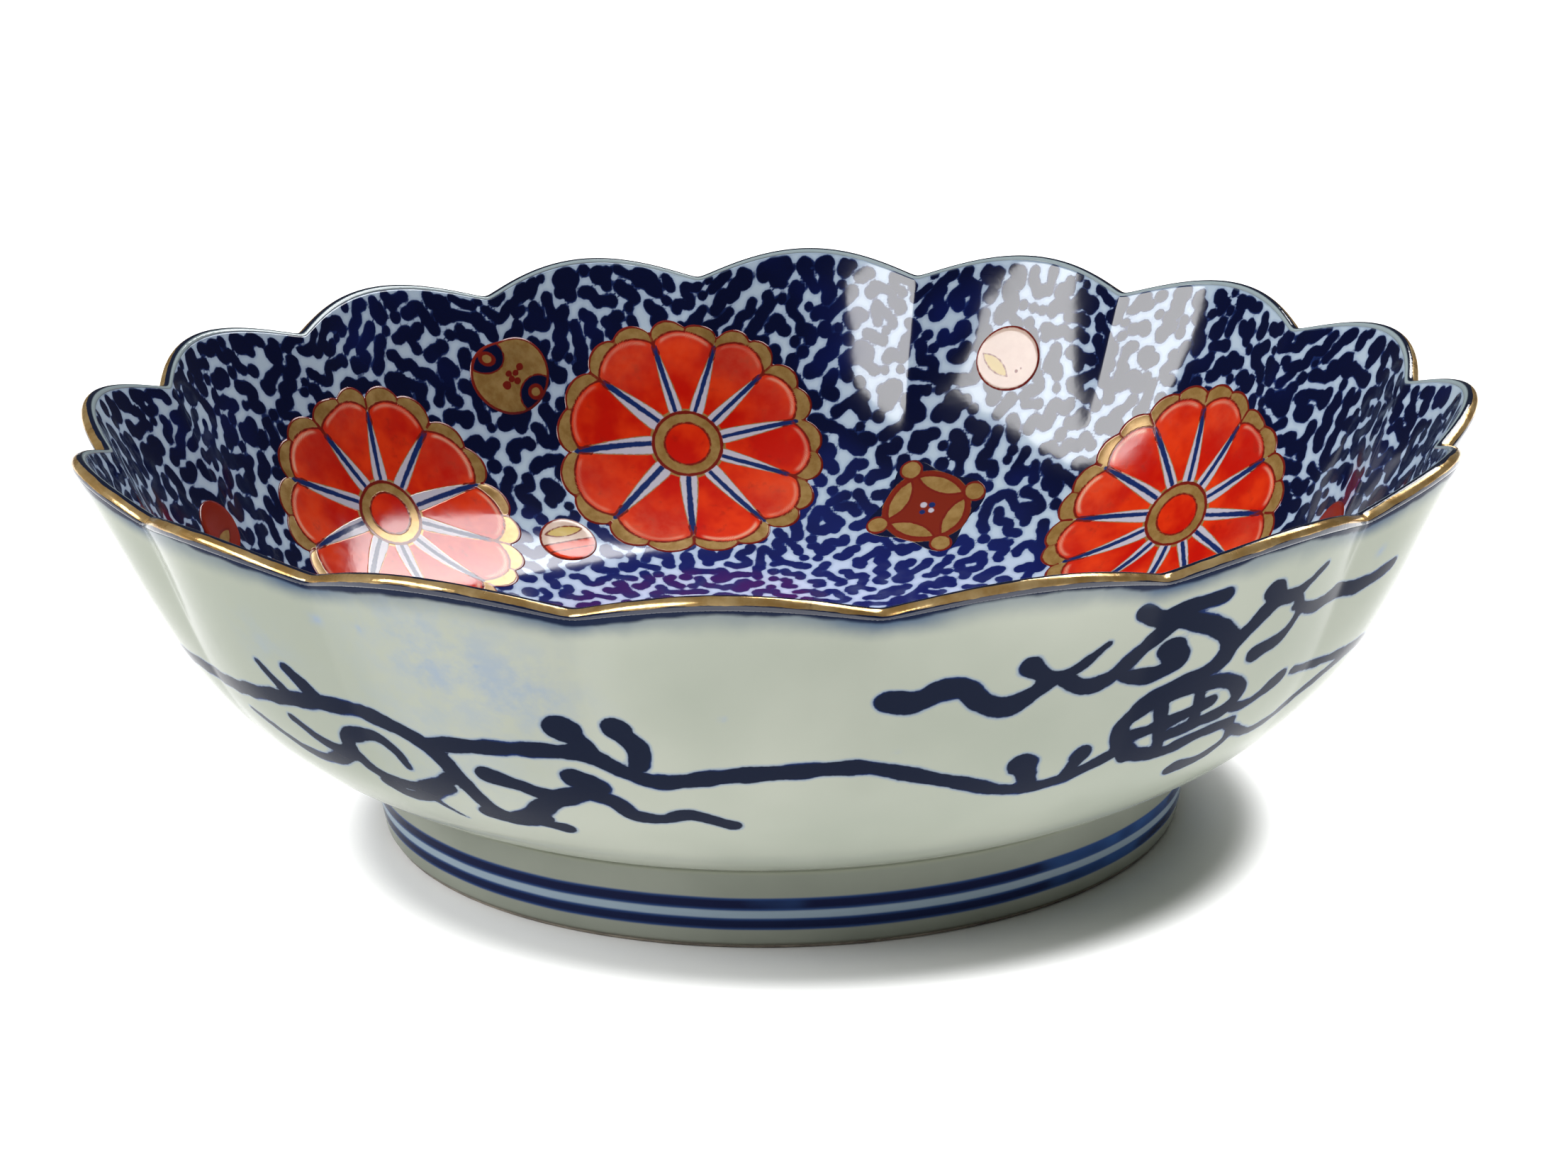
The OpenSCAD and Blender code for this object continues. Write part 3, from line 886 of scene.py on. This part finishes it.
def diamond_fields(x, y, rho):
    knob_out, oval_out, red_r = 10.6, 6.3, 9.4
    knobs, ovals = [], []
    for quarter in range(4):
        turn = DIAMOND_TURN + 90 * quarter
        corner, side = radians(turn), radians(turn + 45)
        knobs.append(spot(x, y, knob_out * cos(corner), knob_out * sin(corner), 2.2))
        ovals.append(lens(x, y, oval_out * cos(side), oval_out * sin(side), turn - 45, 10.5, 3.8))
    knob, oval = union(*knobs), union(*ovals)
    gold = union(knob, oval)
    red = np.where(gold > 0, -gold, np.minimum(-gold, red_r - rho))
    fleck = union(spot(x, y, -0.9, 0.8, 0.7), spot(x, y, 1.0, -0.4, 0.6))
    blue = union(spot(x, y, 0.9, 1.0, 0.7), spot(x, y, -0.8, -1.0, 0.6))
    outline = union(band(knob, 0.26), band(oval, 0.26))
    navy = np.minimum(-gold, rho - red_r)
    dim = np.full_like(rho, -0.9)
    return blank(rho, red=red, white=fleck, cobalt=blue, navy=navy, outline=outline, glow=dim)


def two_tone_fields(x, y, rho):
    pale = np.minimum(y + 0.4, 4)
    leaf = lens(x, y, 0, 2.4, 0, 8.5, 2.6)
    rim = band(TWO_TONE_R - rho - 0.2, 0.28)
    outline = union(rim, band(y + 0.4, 0.2), band(leaf, 0.16), band(y + 2.6, 0.18))
    return blank(rho, pale=pale, leaf=leaf, red=-y, outline=outline, glow=smoothstep(-y, 3.4, 2.2) * 0.3)


def side_disc_fields(x, y, rho):
    leaf = lens(x, y, -1.2, -2.4, 20, 7.5, 2.8)
    outline = union(band(SIDE_DISC_R - rho - 0.2, 0.32), band(leaf, 0.22))
    return blank(rho, red=-leaf, outline=outline, glow=np.full_like(rho, -0.8))


def pad(name, node, place, edge, fields, material, turn=0.0, seed=0, cell=0.36):
    """A thin raised pad on the inside wall, denser the bigger it is, with its edge rounded down.

    edge gives its radius at an angle, fields its painting, and cell the size of its faces in mm.
    """
    reach, angle = place
    biggest = float(np.max(edge(np.linspace(0, 2 * pi, 720))))
    rows = max(6, int(biggest / cell))
    columns = max(48, int(2 * pi * biggest / (cell * 1.4)))
    phi = np.arange(columns) * 2 * pi / columns
    share = np.linspace(1, 0, rows, endpoint=False)[:, None]
    hidden_share = np.linspace(1, 0, 8, endpoint=False)[:, None]
    rho, hidden_rho = share * edge(phi), hidden_share * edge(phi)
    height = ENAMEL_T * (1 - share ** 14) * np.ones_like(rho)

    def wall(rho, phi, lift):
        across, up = rho * np.cos(phi + turn), rho * np.sin(phi + turn)
        s = reach + up
        rz = INSIDE.at(s)
        return swept(rz + lift[..., None] * INSIDE.normal(s), radians(angle) - across / rz[..., 0])

    top = wall(rho, phi[None], height)
    under = wall(hidden_rho, phi[None], np.full_like(hidden_rho, -ENAMEL_SINK))
    zero = np.zeros(1)
    tips = [wall(zero, zero, zero - ENAMEL_SINK), wall(zero, zero, zero + ENAMEL_T)]
    verts = np.vstack([under[::-1].reshape(-1, 3), top.reshape(-1, 3), *tips])
    count = len(under) + len(top)
    k = np.arange(columns)
    after = (k + 1) % columns
    first, last = count * columns, count * columns + 1
    start = (count - 1) * columns
    faces = [
        np.stack([np.full(columns, first), after, k], -1),
        np.stack([np.full(columns, last), start + k, start + after], -1),
    ]
    for row in range(count - 1):
        faces += join_rings(row * columns, columns, (row + 1) * columns, columns)
    all_rho = np.concatenate([hidden_rho[::-1].ravel(), rho.ravel(), [0, 0]])
    all_phi = np.concatenate([np.tile(phi, count), [0, 0]])
    new_object(name, verts, faces, [node], fields(all_rho, all_phi, seed), material)


# ---- Pieces ----

def margin(angle):
    """The width of the plain strip between the brushed ground and the lip."""
    return 0.1 + 0.6 * lobe(angle)


def inside_piece(material):
    """The glaze inside, from well to lip. Its rings have fewer points towards the middle of the well."""
    s = np.append(np.arange(1.5, INSIDE.length, 0.62), INSIDE.length)[::-1]
    hidden = np.linspace(4, INSIDE.length, 60)
    section = np.vstack([offset(INSIDE, hidden, -SKIN), INSIDE.at(s)])
    shown_turns = np.select([s > 62, s > 31, s > 15, s > 7], [1152, 576, 288, 144], 72)
    turns = np.concatenate([np.full(len(hidden), 576), shown_turns])
    verts, faces, ring, angle = revolve(section, turns, (FLOOR_Z - SKIN, FLOOR_Z))
    reach = np.concatenate([hidden, s])[ring]
    ground = BrushGround(11, INSIDE.length, lambda a: INSIDE.length - margin(a))
    spread = 0.40 + 0.08 * smoothstep(reach, 95, 135)
    scroll = spread - ground.at(reach * np.cos(angle), reach * np.sin(angle))
    fields = {"scroll": scroll, "lip": INSIDE.length - reach, "reach": reach}
    new_object("glaze_inside", verts, faces, ["inside_glaze"], fields, material)


def stain_field(angle, up):
    """The strength of the stains at points of the outside wall."""
    field = np.zeros(up.shape)
    for place, height, size, strength in STAINS:
        away = (np.degrees(angle) - place + 180) % 360 - 180
        away = np.hypot(away * pi / 180 * OUTSIDE.at(height)[0], up - height)
        field += strength * np.exp(-(away / size) ** 2)
    return field


def outside_piece(material):
    s = np.append(np.arange(0, OUTSIDE.length, 0.6), OUTSIDE.length)
    hidden = np.linspace(OUTSIDE.length, 0, 12)
    under = offset(OUTSIDE, hidden, SKIN)
    under[-1] = foot_top - (SKIN, 0)
    verts, faces, ring, angle = revolve(np.vstack([OUTSIDE.at(s), under]), 960)
    up = np.concatenate([s, hidden])[ring]
    shown = ring < len(s)
    vine = np.full(up.shape, NO_STROKE)
    vine[shown] = vine_field(angle[shown], up[shown])
    stain = stain_field(angle, up)
    fields = {"vine": vine, "lip": OUTSIDE.length - up, "notch": 1 - lobe(angle), "stain": stain}
    new_object("glaze_outside", verts, faces, ["outside_glaze"], fields, material)


def lip_piece(material):
    arc = np.linspace(-LIP_LEAN, 180 - LIP_LEAN, 19)
    under = arc[::-3]
    verts, faces, ring, _ = revolve(np.vstack([lip_point(arc), lip_point(under, SKIN)]), 1152)
    fields = {"round": np.concatenate([arc, under])[ring]}
    new_object("lip_gilding_band", verts, faces, ["lip_gilding"], fields, material)


def core_piece(material):
    """The porcelain under the coats."""
    outer = offset(OUTSIDE, np.linspace(0, OUTSIDE.length, 30), SKIN)
    outer[0] = foot_top - (SKIN, 0)
    cap = lip_point(np.linspace(-LIP_LEAN, 180 - LIP_LEAN, 7)[1:-1], SKIN)
    inner = offset(INSIDE, np.linspace(INSIDE.length, 4, 40), -SKIN)
    verts, faces, *_ = revolve(np.vstack([outer, cap, inner]), 320, (FOOT_H, FLOOR_Z - SKIN))
    new_object("porcelain_core", verts, faces, ["porcelain_body"], {}, material)


FOOT_OUTER = FOOT_R - SKIN
FOOT_INNER = FOOT_OUTER - FOOT_TOP_W
REST_OUTER = FOOT_OUTER - FOOT_LEAN
REST_INNER = REST_OUTER - REST_W
FOOT_TURNS = 480


def foot_face(z):
    """Points of the clay on the outside of the foot."""
    return np.stack([REST_OUTER + FOOT_LEAN * z / FOOT_H, z], -1)


def recess_face(z):
    """Points of the clay on the inside of the foot."""
    return np.stack([REST_INNER + (FOOT_INNER - REST_INNER) * z / FOOT_H, z], -1)


def foot_glaze_piece(material):
    face = foot_face(np.linspace(BARE_H, FOOT_H, 24))
    coat = face + (SKIN, 0)
    coat[0] += (-SKIN * 0.7, 0)
    verts, faces, *_ = revolve(np.vstack([coat, face[::-6]]), FOOT_TURNS)
    new_object("foot_glaze_band", verts, faces, ["foot_glaze"], {}, material)


def foot_ring_piece(material):
    edge, soft = 0.5, 0.15
    turned = [
        foot_face(np.array(FOOT_H)), foot_face(np.array(edge)),
        (REST_OUTER - soft, soft), (REST_OUTER - edge, 0),
        (REST_INNER + edge, 0), (REST_INNER + soft, soft),
        recess_face(np.array(edge)), recess_face(np.array(FOOT_H)),
    ]
    verts, faces, *_ = revolve(np.vstack(turned), FOOT_TURNS)
    new_object("foot_ring_turned", verts, faces, ["foot_ring"], {}, material)


def base_glaze_piece(material):
    """The glaze under the well and down the inside of the foot, with a fillet between them."""
    fillet_r, hub_r = 3, 3
    inside = recess_face(np.linspace(FOOT_H - fillet_r, BARE_H, 10)) - (SKIN, 0)
    corner = recess_face(np.array(FOOT_H - SKIN)) - (SKIN, 0)
    handles = [corner - (fillet_r, 0), corner - (1, 0), corner - (0, 1), inside[0]]
    fillet = bezier(handles, np.linspace(0, 1, 8))
    flat = np.stack([np.linspace(hub_r, corner[0] - fillet_r, 20), np.full(20, FOOT_H - SKIN)], -1)
    back = recess_face(np.linspace(BARE_H, FOOT_H, 6))
    top = np.array([(40, FOOT_H), (hub_r, FOOT_H)])
    section = np.vstack([flat[:-1], fillet[:-1], inside, back, top])
    verts, faces, *_ = revolve(section, FOOT_TURNS, (FOOT_H - SKIN, FOOT_H))
    new_object("base_glaze_dish", verts, faces, ["base_glaze"], {}, material)


def flat_edge(radius):
    return lambda phi: np.full_like(phi, radius)


def enamel_pieces(material):
    for i, place in enumerate(FLOWERS):
        shape = FLOWER_PETALS[i], FLOWER_BENDS[i]
        pad(f"flower_{i + 1}", f"flower_enamel_{i + 1}", place, flower_edge(*shape), flower_fields(*shape),
            material, radians(FLOWER_TURNS[i]), seed=100 + i)
    families = (
        ("leaf_disc", LEAF_DISCS, flat_edge(LEAF_DISC_R), leaf_disc_fields, "enamel_gilt"),
        ("pale_disc", PALE_DISCS, flat_edge(PALE_DISC_R), pale_disc_fields, "enamel_pale"),
        ("diamond", DIAMONDS, diamond_edge, diamond_fields, "enamel_gilt"),
        ("two_tone", TWO_TONES, flat_edge(TWO_TONE_R), two_tone_fields, "enamel_red"),
        ("side_disc", SIDE_DISCS, flat_edge(SIDE_DISC_R), side_disc_fields, "enamel_red"),
    )
    for family, places, edge, fields, slot in families:
        for i, place in enumerate(places):
            node = f"{family}_enamel_{i + 1}"
            pad(f"{family}_{i + 1}", node, place, edge, by_place(fields), material, cell=0.25)


# ---- Stage: floor, light and camera, in metres and degrees ----

FLOOR_HALF = 6.0
FLOOR_WHITE = (0.80, 0.80, 0.81)
FLOOR_GREY = (0.76, 0.76, 0.77)
# The floor glows so that it is white, but not in a round patch that keeps the shadow of the foot. It
# glows more in one direction over the floor.
SHADE_CENTRE = (0.005, -0.006, 0)
SHADE_RADII = (0.077, 0.094)
GLOW_ACROSS = (0.87, -0.5, 0)
GLOW_STEP = (-0.10, 0.28, 1.1, 2.0)
AIM_HEIGHT = 0.04
# Each window: name, azimuth, elevation, size and radiance.
WINDOWS = [("window_left", -147, 35, (0.95, 0.46), 10.0), ("window_right", 53, 50, (0.74, 0.52), 9.5)]
WINDOW_AWAY = 1.2
SKY_COLOUR = (0.95, 0.97, 1.0, 1)
# The height where the glow overhead starts and where it is full, then the strengths there.
SKY_GLOW = (0.70, 1.0, 0.05, 0.15)
EYE, AIM = Vector((0.0412, -0.6253, 0.2341)), Vector((0.0012, 0.0001, 0.0403))
LENS_MM = 82.6
ROLL = -1.12


def floor():
    mesh = bpy.data.meshes.new("floor")
    corners = [(x * FLOOR_HALF, y * FLOOR_HALF, 0) for x, y in ((-1, -1), (1, -1), (1, 1), (-1, 1))]
    mesh.from_pydata(corners, [], [(0, 1, 2, 3)])
    p = Paint("floor_paper")
    away = p.step(p.measure("DISTANCE", SHADE_CENTRE), *SHADE_RADII)
    glow = p.times(away, p.step(p.measure("DOT_PRODUCT", GLOW_ACROSS), *GLOW_STEP))
    paper = p.mix(p.noise(300, 2), FLOOR_WHITE, FLOOR_GREY)
    p.finish(paper, 0.7, Emission_Color=(1, 1, 1), Emission_Strength=glow)
    mesh.materials.append(p.material)
    plane = bpy.data.objects.new("floor", mesh)
    bpy.context.scene.collection.objects.link(plane)


def window(name, azimuth, elevation, size, radiance):
    """An area light in a direction from the bowl, as bright as radiance wherever it is reflected."""
    light = bpy.data.lights.new(name, "AREA")
    light.shape = "RECTANGLE"
    light.size, light.size_y = size
    light.energy = radiance * pi * size[0] * size[1]
    lamp = bpy.data.objects.new(name, light)
    a, e = radians(azimuth), radians(elevation)
    aim = Vector((0, 0, AIM_HEIGHT))
    lamp.location = aim + WINDOW_AWAY * Vector((cos(a) * cos(e), sin(a) * cos(e), sin(e)))
    lamp.rotation_euler = (lamp.location - aim).to_track_quat("Z", "Y").to_euler()
    bpy.context.scene.collection.objects.link(lamp)


def world():
    """Dim all round, with a soft glow overhead that has no edge to be seen in the glaze."""
    w = bpy.data.worlds.new("studio")
    bpy.context.scene.world = w
    w.use_nodes = True
    tree = w.node_tree
    back = tree.nodes["Background"]
    back.inputs["Color"].default_value = SKY_COLOUR
    place = tree.nodes.new("ShaderNodeTexCoord")
    split = tree.nodes.new("ShaderNodeSeparateXYZ")
    tree.links.new(place.outputs["Generated"], split.inputs[0])
    glow = tree.nodes.new("ShaderNodeMapRange")
    glow.interpolation_type = "SMOOTHSTEP"
    tree.links.new(split.outputs["Z"], glow.inputs[0])
    for number, value in enumerate(SKY_GLOW, start=1):
        glow.inputs[number].default_value = value
    tree.links.new(glow.outputs[0], back.inputs["Strength"])


def camera():
    data = bpy.data.cameras.new("camera")
    data.lens = LENS_MM
    data.clip_end = 20
    cam = bpy.data.objects.new("camera", data)
    cam.location = EYE
    turn = (AIM - EYE).to_track_quat("-Z", "Y") @ Quaternion((0, 0, 1), radians(ROLL))
    cam.rotation_euler = turn.to_euler()
    bpy.context.scene.collection.objects.link(cam)
    bpy.context.scene.camera = cam


inside_piece(inside_glaze_material())
outside_piece(outside_glaze_material())
lip_piece(gilt_material())
core_piece(porcelain_material())
foot_glaze_piece(foot_glaze_material())
foot_ring_piece(bare_porcelain_material())
base_glaze_piece(plain_glaze_material())
enamel_pieces(enamel_material())
floor()
world()
camera()
for row in WINDOWS:
    window(*row)
bpy.context.scene.view_settings.view_transform = "Standard"
